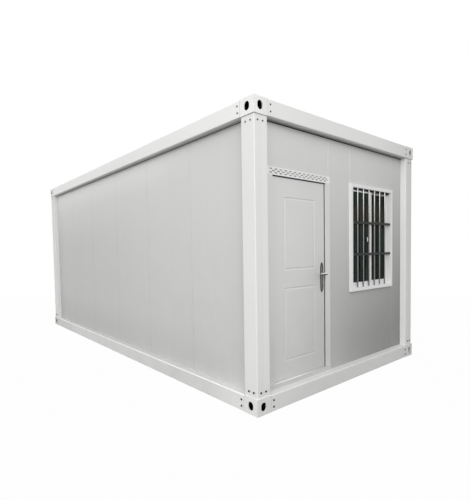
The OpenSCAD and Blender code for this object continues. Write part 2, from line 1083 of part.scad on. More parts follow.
// A window jamb: its body in the wall opening and its flange on the wall's face
module window_jamb() {
    foot = window_foot + window_clear;
    top = window_top - window_clear;
    reach = window_overlap + window_clear;
    translate([frame_left, window_v, foot])
        cube([window_face, window_back - window_v, top - foot]);
    translate([frame_left - reach, window_v, foot - reach])
        cube([reach + window_face, window_proud, top - foot + 2 * reach]);
}

module window_jambs() {
    color(frame_white)
        from_corner() {
            window_jamb();
            translate([frame_left + frame_right, 0, 0])
                mirror([1, 0, 0])
                    window_jamb();
        }
}

// The window's sill and head between the jambs
module window_rails() {
    run = sight_right - sight_left;
    depth = window_back - window_v;
    foot = window_foot + window_clear;
    reach = window_overlap + window_clear;
    color(frame_white)
        from_corner() {
            translate([sight_left, window_v, foot])
                cube([run, depth, window_face]);
            translate([sight_left, window_v, foot - reach])
                cube([run, window_proud, reach + window_face]);
            translate([sight_left, window_v, sight_top])
                cube([run, depth, window_face]);
            translate([sight_left, window_v, sight_top])
                cube([run, window_proud, reach + window_face]);
        }
}

// One sash in its track, and the pane that fills it
module sash(u, v) {
    high = sight_top - sight_foot;
    difference() {
        translate([u, v, sight_foot])
            cube([sash_w, sash_t, high]);
        translate([u + stile_w, v - cut, sight_foot + sash_foot])
            cube([sash_w - 2 * stile_w, sash_t + 2 * cut, high - sash_foot - sash_head]);
    }
}

module pane(u, v) {
    high = sight_top - sight_foot;
    translate([u + stile_w, v + (sash_t - glass_t) / 2, sight_foot + sash_foot])
        cube([sash_w - 2 * stile_w, glass_t, high - sash_foot - sash_head]);
}

module window_sashes() {
    color(frame_white)
        from_corner() {
            sash(sight_left, outer_sash_v);
            sash(sight_right - sash_w, inner_sash_v);
        }
}

module window_glass() {
    color(glass_green)
        from_corner() {
            pane(sight_left, outer_sash_v);
            pane(sight_right - sash_w, inner_sash_v);
        }
}

// Round uprights through two crossbars, from frame to frame
module window_grille() {
    run = sight_right - sight_left;
    high = sight_top - sight_foot;
    pitch = run / (bar_count + 1);
    color(bar_grey)
        from_corner()
            translate([sight_left, grille_v, sight_foot]) {
                for (i = [1:bar_count])
                    translate([i * pitch, 0, 0])
                        cylinder(r = bar_r, h = high);
                for (share = [crossbar_low_share, crossbar_high_share])
                    translate([0, -crossbar_t / 2, share * high - crossbar_h / 2])
                        cube([run, crossbar_t, crossbar_h]);
            }
}

floor_fittings();
roof_fittings();
front_left_post();
front_right_post();
back_left_post();
back_right_post();
left_floor_beam();
right_floor_beam();
front_floor_beam();
back_floor_beam();
left_roof_beam();
right_roof_beam();
front_roof_beam();
back_roof_beam();
floor_joists();
floor_deck();
ceiling();
roof_sheets();
ridge_cap();
corner_trims();
left_wall();
right_wall();
back_wall();
front_wall_hinge_side();
front_wall_over_door();
front_wall_middle();
front_wall_under_window();
front_wall_over_window();
front_wall_right();
hinge_jamb();
lock_jamb();
vent_head();
threshold();
door_seal();
door_leaf();
lock_plates();
lever();
frame_hinges();
leaf_hinges();
window_jambs();
window_rails();
window_sashes();
window_glass();
window_grille();
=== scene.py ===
import json
import math

import bpy
import numpy as np
from mathutils import Matrix, Vector


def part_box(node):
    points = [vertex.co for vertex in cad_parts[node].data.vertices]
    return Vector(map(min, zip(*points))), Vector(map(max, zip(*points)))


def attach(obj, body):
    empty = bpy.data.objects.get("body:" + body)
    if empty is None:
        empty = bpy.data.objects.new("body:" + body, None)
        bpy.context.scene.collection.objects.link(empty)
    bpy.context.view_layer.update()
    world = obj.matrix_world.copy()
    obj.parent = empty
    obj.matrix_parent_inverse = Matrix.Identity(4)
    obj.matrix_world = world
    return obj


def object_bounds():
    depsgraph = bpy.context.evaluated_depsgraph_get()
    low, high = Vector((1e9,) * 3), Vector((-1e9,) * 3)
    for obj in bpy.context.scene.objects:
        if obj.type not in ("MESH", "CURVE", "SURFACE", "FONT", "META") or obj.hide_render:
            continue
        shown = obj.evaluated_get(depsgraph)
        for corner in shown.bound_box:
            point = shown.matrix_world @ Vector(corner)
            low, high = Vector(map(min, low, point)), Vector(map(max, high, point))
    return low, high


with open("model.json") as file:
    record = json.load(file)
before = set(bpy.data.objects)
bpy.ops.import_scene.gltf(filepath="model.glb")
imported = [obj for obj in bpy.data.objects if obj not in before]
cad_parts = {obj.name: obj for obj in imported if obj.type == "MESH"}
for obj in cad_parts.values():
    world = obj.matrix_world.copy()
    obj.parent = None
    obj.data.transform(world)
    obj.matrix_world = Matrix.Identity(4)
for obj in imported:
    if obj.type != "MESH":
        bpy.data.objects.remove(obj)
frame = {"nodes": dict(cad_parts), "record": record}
cad_low, cad_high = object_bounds()

# Sizes of the steel frame in metres, read from its nodes
half_w = cad_high.x
half_l = cad_high.y
floor_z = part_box("floor_fittings")[1].z
roof_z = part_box("roof_fittings")[0].z
top_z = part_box("roof_fittings")[1].z
fitting_w = half_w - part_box("front_floor_beam")[1].x
post_inset = half_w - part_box("front_right_post")[1].x
CORNERS = [(sx, sy) for sx in (-1, 1) for sy in (-1, 1)]

# Sizes in metres that no node's box gives
MM = 0.001
PLATE_WALL = 0.008
ROOF_RISE = 0.020


# Meshes

def quads(rows, columns, ring):
    """Corner numbers of the faces of a grid whose columns wrap; the rows of a ring wrap too."""
    r = np.arange(rows if ring else rows - 1)
    r0, c0 = np.meshgrid(r, np.arange(columns), indexing="ij")
    r1 = (r0 + 1) % rows
    c1 = (c0 + 1) % columns
    corners = [r0 * columns + c0, r0 * columns + c1, r1 * columns + c1, r1 * columns + c0]
    return np.stack(corners, -1).reshape(-1, 4)


def add_piece(name, points, faces, body, slot, finish, smooth=True):
    """A finished mesh piece that rides on a body and takes the finish it is given; its slot is not read.
    """
    mesh = bpy.data.meshes.new(name)
    mesh.from_pydata(points.tolist(), [], faces)
    mesh.validate()
    mesh.polygons.foreach_set("use_smooth", np.full(len(mesh.polygons), smooth))
    mesh.materials.append(finish.material)
    piece = bpy.data.objects.new(name, mesh)
    bpy.context.scene.collection.objects.link(piece)
    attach(piece, body)


def turned(radius, height, sides, hexagon=None):
    """A profile turned round Z: point (j, k) is (r_j g_k cos a_k, r_j g_k sin a_k, h_j), where a_k goes
    round once and g_k is 1, or where the row is hexagonal the hexagon's cos 30 / cos(a mod 60 - 30)."""
    angle = np.arange(sides) * 2 * np.pi / sides
    sixth = np.pi / 3
    flat = np.cos(sixth / 2) / np.cos(angle % sixth - sixth / 2)
    rows = np.zeros(len(radius)) if hexagon is None else np.asarray(hexagon, float)
    r = np.asarray(radius)[:, None] * (1 + rows[:, None] * (flat[None] - 1))
    h = np.broadcast_to(np.asarray(height)[:, None], r.shape)
    return np.stack([r * np.cos(angle), r * np.sin(angle), h], -1)


def stamped(shape, seats, normals, sizes=1.0):
    """The same grid on many seats, each in its size: local Z follows the seat's normal, local Y stays as
    upright as it can."""
    seats = np.asarray(seats, float)
    sizes = np.broadcast_to(sizes, len(seats))
    n = np.asarray(normals, float)
    up = np.where(np.abs(n[:, 2:]) > 0.9, [0.0, 1.0, 0.0], [0.0, 0.0, 1.0])
    x = np.cross(up, n)
    x /= np.linalg.norm(x, axis=1, keepdims=True)
    y = np.cross(n, x)
    axes = np.stack([x, y, n], 1) * sizes[:, None, None]
    return seats[:, None, None] + shape @ axes[:, None]


def picture_frame(low, high, inset, depth):
    """A profile carried round an upright rectangle with mitred corners: profile point (a, b) lies a
    inside the rectangle's edge and b along -Y from its plane."""
    signs = np.array([(-1, -1), (1, -1), (1, 1), (-1, 1)], float)
    centre = (np.asarray(low) + np.asarray(high)) / 2
    half = (np.asarray(high) - np.asarray(low)) / 2
    a = np.asarray(inset)[None]
    x = centre[0] + signs[:, :1] * (half[0] - a)
    z = centre[2] + signs[:, 1:] * (half[2] - a)
    y = np.broadcast_to(low[1] - np.asarray(depth)[None], x.shape)
    return np.stack([x, y, z], -1)


def pillow(low, high, count=20):
    """A superellipse of the fourth power in the box from low to high: (cos^(1/2) t, sin^(1/2) t)."""
    t = (np.arange(count) + 0.5) * 2 * np.pi / count
    wave = np.stack([np.cos(t), np.sin(t)], -1)
    unit = np.sign(wave) * np.sqrt(np.abs(wave))
    low, high = np.asarray(low), np.asarray(high)
    return (low + high) / 2 + (high - low) / 2 * unit


def straight_run(start, end, out, profile):
    """A closed profile carried from start to end: its point (a, b) lies a along out and b along Z."""
    start, end, out = (np.asarray(each, float) for each in (start, end, out))
    a, b = np.asarray(profile, float).T
    step = np.array([0.0, 1.0])[:, None, None]
    up = np.array([0.0, 0.0, 1.0])
    return start + step * (end - start) + a[:, None] * out + b[:, None] * up


def lozenge(low, high, rows=13, columns=20):
    """A rounded block in the box from low to high: with r(t) = sign(t) |t|^(1/2), its point at height
    angle v and turn u is (r(cos v) r(cos u), r(cos v) r(sin u), r(sin v))."""
    v = ((np.arange(rows) + 0.5) / rows - 0.5)[:, None] * np.pi
    u = (np.arange(columns) * 2 * np.pi / columns)[None]
    wave = np.stack(np.broadcast_arrays(np.cos(v) * np.cos(u), np.cos(v) * np.sin(u), np.sin(v)), -1)
    low, high = np.asarray(low), np.asarray(high)
    return (low + high) / 2 + (high - low) / 2 * np.sign(wave) * np.sqrt(np.abs(wave))


def closed(grids, ring=False):
    """Grids whose columns wrap, as one mesh: each has a cap on its first and last row, or is a ring
    whose rows wrap too. Faces turn outward, by the sign of the sum of place times area over a grid."""
    points, faces, count = [], [], 0
    for grid in grids:
        rows, columns = grid.shape[:2]
        flat = grid.reshape(-1, 3)
        sides = quads(rows, columns, ring)
        lid = np.arange(columns)
        caps = [] if ring else [lid[::-1], lid + (rows - 1) * columns]
        a, b, c, d = (flat[sides[:, k]] - flat.mean(0) for k in range(4))
        turn = 1 if np.sum((a + b + c + d) * np.cross(c - a, d - b)) > 0 else -1
        points.append(flat)
        faces += [(each + count)[::turn].tolist() for each in (*sides, *caps)]
        count += len(flat)
    return np.concatenate(points), faces


# Materials

class Value:
    """A number that changes over a surface; arithmetic on it adds Math nodes."""

    def __init__(self, finish, socket):
        self.finish = finish
        self.socket = socket

    def __add__(self, other):
        return self.finish.math("ADD", self, other)

    def __sub__(self, other):
        return self.finish.math("SUBTRACT", self, other)

    def __mul__(self, other):
        return self.finish.math("MULTIPLY", self, other)

    def __truediv__(self, other):
        return self.finish.math("DIVIDE", self, other)

    def __rsub__(self, other):
        return self.finish.math("SUBTRACT", other, self)

    def __rtruediv__(self, other):
        return self.finish.math("DIVIDE", other, self)

    def __mod__(self, other):
        return self.finish.math("FLOORED_MODULO", self, other)

    def __lt__(self, other):
        return self.finish.math("LESS_THAN", self, other)

    def __gt__(self, other):
        return self.finish.math("GREATER_THAN", self, other)

    def __abs__(self):
        return self.finish.math("ABSOLUTE", self)

    __radd__ = __add__
    __rmul__ = __mul__

    def floor(self):
        """The whole number below."""
        return self.finish.math("FLOOR", self)

    def either(self, other):
        """The larger of two values."""
        return self.finish.math("MAXIMUM", self, other)

    def ramp(self, low, high):
        """0 below low, 1 above high and smooth between; high may be the smaller."""
        return self.finish.node(
            "ShaderNodeMapRange",
            {"interpolation_type": "SMOOTHSTEP"},
            {"Value": self, "From Min": low, "From Max": high},
        )


class Finish:
    """One procedural material on the object's own coordinates, in metres."""

    def __init__(self, name, **constants):
        self.material = bpy.data.materials.new(name)
        self.material.use_nodes = True
        self.tree = self.material.node_tree
        self.shader = self.tree.nodes["Principled BSDF"]
        for socket, value in constants.items():
            self.shader.inputs[socket.replace("_", " ")].default_value = value
        self.place = self.node("ShaderNodeTexCoord", out="Object")
        self.x, self.y, self.z = (
            self.node("ShaderNodeSeparateXYZ", {}, {0: self.place}, out=axis) for axis in "XYZ"
        )

    def node(self, kind, settings=None, sockets=None, out=0):
        """Adds any node: its settings first, then the values or links of its sockets."""
        made = self.tree.nodes.new(kind)
        for name, value in (settings or {}).items():
            setattr(made, name, value)
        for name, value in (sockets or {}).items():
            self.join(value, made.inputs[name])
        return Value(self, made.outputs[out])

    def join(self, value, socket):
        """Links a changing value to a socket, or sets a constant on it."""
        if isinstance(value, Value):
            self.tree.links.new(value.socket, socket)
        else:
            socket.default_value = value

    def math(self, operation, *values):
        """A Math node on one or two values."""
        return self.node("ShaderNodeMath", {"operation": operation}, dict(enumerate(values)))

    def noise(self, scale, detail=2.0, stretch=(1, 1, 1), rough=0.5):
        """Clouds around 0.5, with scale features a metre, drawn out along axes with a small stretch."""
        where = self.node("ShaderNodeMapping", {}, {"Vector": self.place, "Scale": stretch})
        return self.node(
            "ShaderNodeTexNoise",
            {},
            {"Vector": where, "Scale": scale, "Detail": detail, "Roughness": rough},
        )

    def cells(self, scale):
        """A random number for each cell of a crystal pattern, with scale cells a metre."""
        colour = self.node("ShaderNodeTexVoronoi", {}, {"Vector": self.place, "Scale": scale}, "Color")
        return self.node("ShaderNodeSeparateColor", {}, {0: colour})

    def chance(self, number):
        """A random number from 0 to 1 for each whole number."""
        return self.node("ShaderNodeTexWhiteNoise", {"noise_dimensions": "1D"}, {"W": number})

    def blend(self, low, high, factor):
        """One colour or the other by a factor."""
        return self.node(
            "ShaderNodeMix",
            {"data_type": "RGBA"},
            {0: factor, 6: colour4(low), 7: colour4(high)},
            out=2,
        )

    def tone(self, colour, factor):
        """A colour made lighter or darker by a factor round 1."""
        grey = self.node("ShaderNodeCombineColor", {}, {0: factor, 1: factor, 2: factor})
        return self.node(
            "ShaderNodeMix",
            {"data_type": "RGBA", "blend_type": "MULTIPLY"},
            {0: 1.0, 6: colour4(colour), 7: grey},
            out=2,
        )

    def set(self, socket, value):
        """Gives a value to one of the shader's own sockets."""
        self.join(value, self.shader.inputs[socket])

    def relief(self, height):
        """A bump whose height is in metres."""
        self.set("Normal", self.node("ShaderNodeBump", {}, {"Distance": 1.0, "Height": height}))


def colour4(colour):
    """A constant colour with its alpha, or a changing colour as it is."""
    return colour if isinstance(colour, Value) else (*colour, 1.0)


WHITE_PAINT = (0.80, 0.80, 0.79)
WALL_WHITE = (0.66, 0.66, 0.65)
DOOR_WHITE = (0.70, 0.70, 0.695)
DUST = (0.40, 0.395, 0.385)
# Painted shade inside the left fittings
PAINTED_SHADE_BLACK = (0.012, 0.012, 0.013)
# Painted shade under the roof beams
PAINTED_SHADE_GREY = (0.20, 0.20, 0.195)
# Painted light: highlights on the frame's edges and returns, and inside the right fittings
PAINTED_LIGHT_WHITE = (0.90, 0.90, 0.89)

# Rows of panels and boards are counted from this far outside the cabin, in metres
FAR_OUT = 10


def dust_and_shade(f, colour, reach, most):
    """Dust and painted shade towards the ground, in the dust's colour: most at the foot, gone above
    reach, broken up by clouds.
    """
    veil = f.z.ramp(reach, 0.0) * (0.4 + 0.6 * f.noise(6, 4)) * most
    return f.blend(colour, DUST, veil)


def frame_paint():
    """Satin sprayed white on folded steel: orange peel and faint clouds, grime on the floor beams away
    from the front corners, dust and painted shade towards the ground, painted shade on the front faces
    growing to the right and on the front floor beams, painted light and shade on the long sides (roof
    beams lighter, posts a little darker, posts and floor beams darker to the back), painted highlights
    on the floor beams' outer edges and the back posts' returns, and painted shade deep under the roof
    beams."""
    f = Finish("frame_paint", Specular_IOR_Level=0.4)
    from_side = half_w - abs(f.x)
    from_end = half_l - abs(f.y)
    inward = f.math("MINIMUM", from_side, from_end)
    along = from_side.either(from_end)
    skin = post_inset + 2 * MM
    floor = f.z < floor_z
    roof = f.z > roof_z
    post = (f.z > floor_z) * (1 - roof)
    long_side = abs(f.x) > half_w - 0.1
    front = f.y < skin - half_l
    back = f.y.ramp(1.5, 2.5)
    # Painted shade: front faces darker to the right, and the front floor beams darker
    painted_shade = front * (0.13 * f.x.ramp(0.5, 1.5) + 0.05 * floor)
    # Painted light and shade on the long sides: roof beams lighter, posts a little darker, and posts and
    # floor beams darker to the back
    painted_light_and_shade = long_side * (0.03 * post - 0.05 * roof + back * (0.09 * post + 0.13 * floor))
    tone = 0.97 + 0.06 * f.noise(1.6, 3) - painted_light_and_shade - painted_shade
    dirt = (0.13 + 0.34 * f.noise(5, 4)) * (0.6 + 0.4 * long_side)
    grime = f.z.ramp(0.30, 0.14) * along.ramp(0.15, 0.9).either(back) * dirt
    paint = dust_and_shade(f, f.tone(WHITE_PAINT, tone), reach=0.5, most=0.12)
    paint = f.blend(paint, DUST, grime)
    # Painted highlight: paler white on the floor beams' outer edges, stronger on the long sides, and on
    # the back posts' returns
    arris = (f.z > floor_z - 9 * MM) * (f.z < floor_z + MM) * (inward < 11 * MM) * (along > fitting_w)
    painted_lit_return = post * (inward > skin) * back
    clean = (arris * (0.25 + 0.75 * long_side)).either(painted_lit_return)
    paint = f.blend(paint, PAINTED_LIGHT_WHITE, clean)
    # Painted shade: grey under the roof beams, in from their edges, darker at the front and back
    soffit = (f.z > roof_z - 0.5 * MM) * (f.z < roof_z + 2 * MM) * inward.ramp(12 * MM, 70 * MM)
    f.set("Base Color", f.blend(paint, PAINTED_SHADE_GREY, soffit * (0.75 - 0.25 * long_side)))
    f.set("Roughness", 0.36 + 0.14 * f.noise(9, 3))
    f.relief(f.noise(260, 1) * (0.05 * MM))
    return f


def fitting_paint():
    """The frame's paint; inside the hollow fittings, painted shade in near-black on the left and painted
    light in pale white on the right."""
    f = frame_paint()
    f.material.name = "fitting_paint"
    skin = PLATE_WALL - 0.5 * MM
    deep = fitting_w - skin
    inside_x = (abs(f.x) < half_w - skin) * (abs(f.x) > half_w - deep)
    inside_y = (abs(f.y) < half_l - skin) * (abs(f.y) > half_l - deep)
    low = (f.z > skin) * (f.z < floor_z - skin)
    high = (f.z > roof_z + skin) * (f.z < top_z - skin)
    inside = inside_x * inside_y * low.either(high)
    paint = Value(f, f.shader.inputs["Base Color"].links[0].from_socket)
    # Painted shade in near-black inside the left fittings, painted light in pale white inside the right
    # ones
    f.set("Base Color", f.blend(paint, f.blend(PAINTED_SHADE_BLACK, PAINTED_LIGHT_WHITE, f.x > 0), inside))
    return f


def wall_paint():
    """Coated panel skins, not quite flat, with rain streaks and a tone of its own for each panel, and
    dust and painted shade towards the ground. The front wall has painted shade growing to the right and
    the ground, and the long walls painted shade to the back and the foot; both have painted light under
    the eaves."""
    f = Finish("wall_paint", Specular_IOR_Level=0.45)
    module, row_step, recess = 0.95, 37, 0.15
    panel = ((f.y + FAR_OUT) / module).floor() + row_step * ((f.x + FAR_OUT) / module).floor()
    streak = f.noise(14, 3, (1, 1, 0.06))
    plain = 0.965 + 0.02 * f.chance(panel) + 0.03 * streak + 0.02 * f.noise(1.1, 2)
    front_wall = f.y < recess - half_l
    # Painted shade on the front wall: darker to the right and towards the ground, less near the top
    right = f.x.ramp(-1.4, 0.9) * f.z.ramp(2.7, 0.1) * 0.57 + f.x.ramp(0.3, 1.5) * 0.13
    foot = f.x.ramp(-0.4, 0.3) * f.x.ramp(1.4, 0.8) * f.z.ramp(1.1, 0.3) * 0.08
    eaves = f.z.ramp(2.2, 2.6) * 0.07
    painted_shade = (right + foot - eaves) * front_wall
    long_wall = abs(f.y) < half_l - recess
    # Painted shade on the long walls: darker to the back and at the foot away from the front end;
    # painted light at their tops
    far = f.y.ramp(-2.7, 1.8) * (0.02 + 0.16 * f.z.ramp(2.6, 1.5))
    painted_foot_shade = f.y.ramp(-2.85, -1.9) * f.z.ramp(0.75, 0.2) * 0.12
    painted_eaves_light = f.y.ramp(-2.7, -0.6) * f.z.ramp(2.2, 2.62) * 0.16
    painted_light_and_shade = (far + painted_foot_shade - painted_eaves_light) * long_wall
    seam = abs((f.y + module / 2) % module - module / 2).ramp(5 * MM, 2 * MM) * long_wall
    tone = plain * (1 - painted_shade) * (1 - painted_light_and_shade) * (1 - 0.16 * seam)
    f.set("Base Color", dust_and_shade(f, f.tone(WALL_WHITE, tone), reach=2.7, most=0.4))
    f.set("Roughness", 0.34 + 0.12 * streak)
    f.relief(f.noise(2.2, 1, (1, 1, 0.5)) * (1.2 * MM) + f.noise(320, 1) * (0.02 * MM))
    return f


def roof_paint():
    """White coated roof sheet with dust in patches drawn out down the slope."""
    f = Finish("roof_paint", Specular_IOR_Level=0.4)
    patch = f.noise(3.5, 5, (0.4, 1, 1))
    white = f.tone(WHITE_PAINT, 0.93 + 0.06 * patch)
    f.set("Base Color", f.blend(white, DUST, patch.ramp(0.45, 0.8) * 0.3))
    f.set("Roughness", 0.4 + 0.2 * patch)
    f.relief(f.noise(300, 1) * (0.03 * MM))
    return f


def ceiling_paint():
    """White ceiling boards with joints across the room and a fine grain."""
    f = Finish("ceiling_paint", Specular_IOR_Level=0.3)
    board = 0.6
    joint = abs((f.y + FAR_OUT) % board - board / 2).ramp(1.5 * MM, 0)
    white = f.tone(WHITE_PAINT, 0.96 + 0.05 * f.noise(4, 3))
    f.set("Base Color", f.blend(white, DUST, joint * 0.6))
    f.set("Roughness", 0.55 + 0.15 * f.noise(40, 2))
    f.relief(f.noise(400, 2) * (0.05 * MM) - joint * MM)
    return f


def door_frame_paint():
    """Smooth white enamel on the door frame, with painted light on the vent head, trodden on the
    threshold, and dust and painted shade towards the ground.
    """
    f = Finish("door_frame_paint", Specular_IOR_Level=0.45)
    vent_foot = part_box("vent_head")[0].z
    # Painted light: the vent head is made lighter than the rest of the frame
    white = f.tone(WHITE_PAINT, 0.85 + 0.05 * f.noise(3, 3) + 0.15 * (f.z > vent_foot))
    wear_z, blur = 0.200, 6 * MM
    trodden = f.blend(white, DUST, f.z.ramp(wear_z + blur, wear_z - blur) * 0.3)
    f.set("Base Color", dust_and_shade(f, trodden, reach=1.6, most=0.5))
    f.set("Roughness", 0.3 + 0.14 * f.noise(12, 3))
    f.relief(f.noise(300, 1) * (0.03 * MM))
    return f


def door_paint():
    """Pressed steel leaf in a slightly greyer white, dirtier round the lever, with painted shade towards
    the lock side and dust and painted shade towards the ground.
    """
    f = Finish("door_paint", Specular_IOR_Level=0.45)
    lever = (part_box("lever")[0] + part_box("lever")[1]) / 2
    across = f.x - lever.x
    rise = f.z - lever.z
    away = f.math("SQRT", across * across + rise * rise)
    rub = away.ramp(0.24, 0.05) * f.noise(18, 4) * 0.16
    # Painted shade: darker towards the lock side, most towards the foot
    painted_lock_side_shade = f.x.ramp(-1.0, -0.4) * (0.03 + f.z.ramp(2.1, 0.2) * 0.13)
    base = f.blend(f.tone(DOOR_WHITE, 0.97 + 0.05 * f.noise(2, 3) - painted_lock_side_shade), DUST, rub)
    f.set("Base Color", dust_and_shade(f, base, reach=1.5, most=0.42))
    f.set("Roughness", 0.33 + 0.14 * f.noise(10, 3))
    f.relief(f.noise(3, 1) * (0.5 * MM) + f.noise(320, 1) * (0.02 * MM))
    return f


def galvanised_steel():
    """Zinc with its crystal spangle."""
    f = Finish("galvanised_steel", Metallic=0.85)
    grain = f.cells(70)
    f.set("Base Color", f.blend((0.36, 0.37, 0.38), (0.56, 0.57, 0.58), grain))
    f.set("Roughness", 0.38 + 0.2 * grain + 0.1 * f.noise(8, 3))
    f.relief(grain * (0.03 * MM))
    return f


def floor_board():
    """Cement boards with butt joints, mottled grey-brown."""
    f = Finish("floor_board", Specular_IOR_Level=0.3)
    board = 1.22
    joint = abs((f.y + FAR_OUT) % board - board / 2).ramp(1.5 * MM, 0)
    mottle = f.noise(7, 6, rough=0.65)
    fibre = f.noise(60, 3, (0.15, 1, 1))
    base = f.blend((0.33, 0.29, 0.24), (0.47, 0.43, 0.37), 0.6 * mottle + 0.4 * fibre)
    f.set("Base Color", f.blend(base, (0.05, 0.045, 0.04), joint))
    f.set("Roughness", 0.6 + 0.25 * mottle)
    f.relief(fibre * (0.15 * MM) - joint * MM)
    return f


def seal_rubber():
    """Black rubber, dull, with a bloom of dust."""
    f = Finish("seal_rubber", Specular_IOR_Level=0.35)
    bloom = f.noise(25, 4)
    f.set("Base Color", f.blend((0.008, 0.008, 0.009), (0.035, 0.034, 0.032), bloom.ramp(0.45, 0.8)))
    f.set("Roughness", 0.55 + 0.25 * bloom)
    f.relief(f.noise(900, 1) * (0.03 * MM))
    return f


def lock_steel():
    """Dark brushed steel: hair lines along the plate, a painted highlight in a stripe left of its
    middle, short of its tips, and a lighter painted reflection on its right part."""
    f = Finish("lock_steel", Metallic=1.0)
    low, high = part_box("lock_plates")
    across = (f.x - low.x) / (high.x - low.x)
    tip = f.math("MINIMUM", f.z - low.z, high.z - f.z)
    # Painted highlight in a stripe left of the middle, and a lighter painted reflection on the right
    # part
    painted_highlight_band = across.ramp(0.20, 0.26) * across.ramp(0.44, 0.38) * tip.ramp(0.024, 0.034)
    hair = f.noise(1400, 2, (1, 1, 0.02))
    brushed = f.blend((0.008, 0.008, 0.008), (0.03, 0.03, 0.029), hair)
    dull = f.blend(brushed, (0.05, 0.05, 0.049), across.ramp(0.70, 0.80))
    f.set("Base Color", f.blend(dull, (0.48, 0.48, 0.47), painted_highlight_band))
    f.set("Roughness", 0.28 + 0.2 * hair)
    f.relief(hair * (0.02 * MM))
    return f


def lever_steel():
    """The same steel, with a painted highlight on the lever's upper half."""
    f = Finish("lever_steel", Metallic=1.0)
    low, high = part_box("lever")
    middle = (low.z + high.z) / 2
    hair = f.noise(900, 2, (0.05, 1, 1))
    dark = f.blend((0.015, 0.015, 0.015), (0.05, 0.05, 0.048), hair)
    bright = f.blend((0.74, 0.74, 0.73), (0.88, 0.88, 0.87), hair)
    # Painted highlight: the lever's upper half is bright, its lower half keeps the dark steel
    f.set("Base Color", f.blend(dark, bright, f.z.ramp(middle - MM, middle + 2 * MM)))
    f.set("Roughness", 0.2 + 0.15 * hair)
    f.relief(hair * (0.01 * MM))
    return f


def hinge_steel():
    """Zinc-plated steel, dulled and darkened in patches."""
    f = Finish("hinge_steel", Metallic=1.0)
    patch = f.noise(90, 4)
    f.set("Base Color", f.blend((0.22, 0.22, 0.215), (0.40, 0.40, 0.39), patch))
    f.set("Roughness", 0.34 + 0.22 * patch)
    f.relief(patch * (0.04 * MM))
    return f


def bolt_steel():
    """Dark oxide, worn in fine patches."""
    f = Finish("bolt_steel", Metallic=0.7)
    wear = f.noise(500, 3)
    f.set("Base Color", f.blend((0.018, 0.018, 0.019), (0.09, 0.088, 0.085), wear.ramp(0.4, 0.8)))
    f.set("Roughness", 0.42 + 0.25 * wear)
    f.relief(wear * (0.05 * MM))
    return f


def window_plastic():
    """White window profile, smooth with a faint drawn grain."""
    f = Finish("window_plastic", Specular_IOR_Level=0.5)
    drawn = f.noise(120, 2, (1, 1, 0.05))
    f.set("Base Color", f.tone((0.80, 0.80, 0.80), 0.97 + 0.03 * drawn + 0.02 * f.noise(5, 3)))
    f.set("Roughness", 0.28 + 0.12 * drawn)
    f.relief(drawn * (0.02 * MM))
    return f


def window_glazing():
    """Dark green float glass with a film of dust, and a brown tint over its upper part."""
    f = Finish("window_glazing", Transmission_Weight=0.55, IOR=1.14, Specular_IOR_Level=0.3)
    low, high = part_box("window_glass")
    film = f.noise(9, 5, (1, 1, 0.4))
    cloud = f.noise(5, 3, (1.6, 1, 0.5))
    height = (f.z - low.z) / (high.z - low.z) + 0.12 * cloud
    brown = height.ramp(0.58, 0.80) * height.ramp(0.98, 0.84)
    green = f.blend((0.008, 0.022, 0.016), (0.036, 0.070, 0.055), film.ramp(0.35, 0.7))
    f.set("Base Color", f.blend(green, (0.105, 0.080, 0.050), brown * (0.25 + 0.6 * cloud)))
    f.set("Roughness", film.ramp(0.45, 0.9) * 0.1)
    return f


def screen_wire():
    """Grey galvanised wire of a fly screen."""
    f = Finish("screen_wire", Metallic=0.2, Specular_IOR_Level=0.3)
    f.set("Base Color", f.blend((0.32, 0.32, 0.32), (0.44, 0.44, 0.43), f.noise(300, 2)))
    f.set("Roughness", 0.5 + 0.2 * f.noise(40, 3))
    return f


def joint_paint():
    """Paint over the weld beads, greyed by the dirt that they hold."""
    f = Finish("joint_paint", Specular_IOR_Level=0.3)
    f.set("Base Color", f.blend(WHITE_PAINT, DUST, 0.35 + 0.3 * f.noise(30, 3)))
    f.set("Roughness", 0.5 + 0.2 * f.noise(60, 2))
    return f


def latch_plastic():
    """Pale grey moulded plastic with a fine grain."""
    f = Finish("latch_plastic", Specular_IOR_Level=0.4)
    f.set("Base Color", f.tone((0.72, 0.72, 0.70), 0.94 + 0.08 * f.noise(80, 3)))
    f.set("Roughness", 0.42 + 0.15 * f.noise(300, 2))
    return f


# Heights of the grille's crossbars, as shares of its height
CROSSBAR_SHARES = (0.335, 0.655)


def grille_steel():
    """Steel uprights with painted light, brightest at the top, and painted shade on their back halves,
    and dark painted crossbars, told apart by the crossbars' heights."""
    f = Finish("grille_steel", Specular_IOR_Level=0.15)
    low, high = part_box("window_grille")
    tall = high.z - low.z
    half_bar = 0.0145
    first, second = (abs(f.z - (low.z + share * tall)) < half_bar for share in CROSSBAR_SHARES)
    cross = first.either(second)
    drawn = f.noise(700, 2, (1, 1, 0.03))
    middle = (low.y + high.y) / 2
    rubbed = f.tone((0.52, 0.51, 0.485), 0.75 + 0.25 * drawn)
    # Painted light on the uprights, brightest at the top, and painted shade on their back halves
    painted_height_light = 0.42 + 0.58 * f.z.ramp(low.z + 0.6 * tall, high.z)
    behind = f.y.ramp(middle - 3 * MM, middle + 3 * MM)
    bright = f.tone(rubbed, painted_height_light * (1 - 0.7 * behind))
    dark = f.blend((0.008, 0.012, 0.010), (0.022, 0.026, 0.023), f.noise(60, 3))
    f.set("Base Color", f.blend(bright, dark, cross))
    f.set("Metallic", 0.9 - 0.75 * cross)
    f.set("Roughness", 0.24 + 0.14 * drawn + 0.12 * cross)
    f.relief(drawn * (0.02 * MM))
    return f


